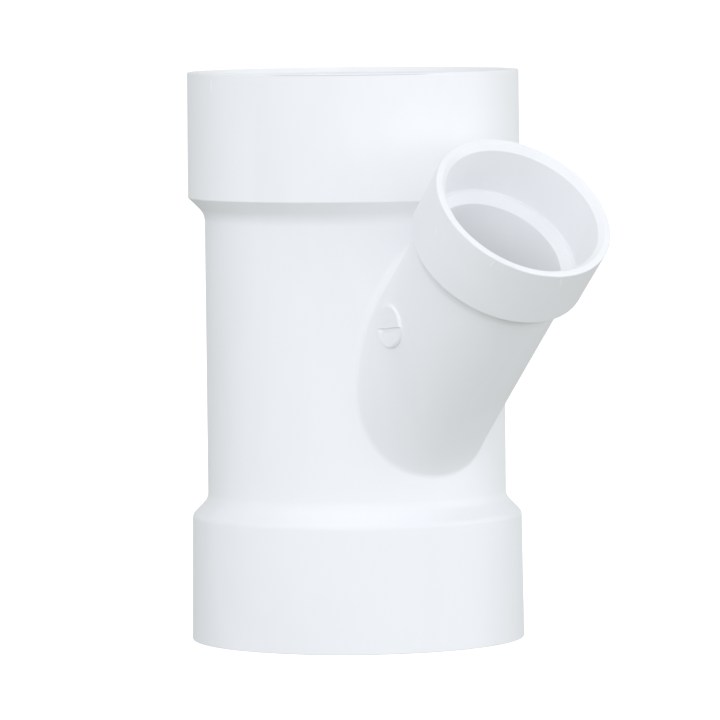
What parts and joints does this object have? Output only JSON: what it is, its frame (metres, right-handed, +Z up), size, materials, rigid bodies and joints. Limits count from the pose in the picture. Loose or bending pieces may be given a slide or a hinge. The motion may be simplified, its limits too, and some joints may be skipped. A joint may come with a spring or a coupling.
{
  "type": "reducing wye drain pipe fitting",
  "caption": "Moulded white PVC reducing wye: a straight run with a large socket hub at each end and a smaller socket hub on a branch slanted at 45 degrees.",
  "frame": {"origin": "on the axis of the straight run, in the plane of the lower hub's rim, on which the fitting stands", "axes": "+Z up along the run, +X towards the side that the branch leans to, so the branch's axis lies in the XZ plane at 45 degrees to both"},
  "size_m": [0.2061, 0.1276, 0.2177],
  "materials": {
    "white_pvc": "semi-gloss moulded white PVC, slightly cool, with faint flow marks"
  },
  "bodies": {
    "root": {"lower_hub": "white_pvc", "run_barrel": "white_pvc", "upper_hub": "white_pvc", "branch_barrel": "white_pvc", "branch_hub": "white_pvc", "gate_vestige": "white_pvc"}
  },
  "joints": []
}
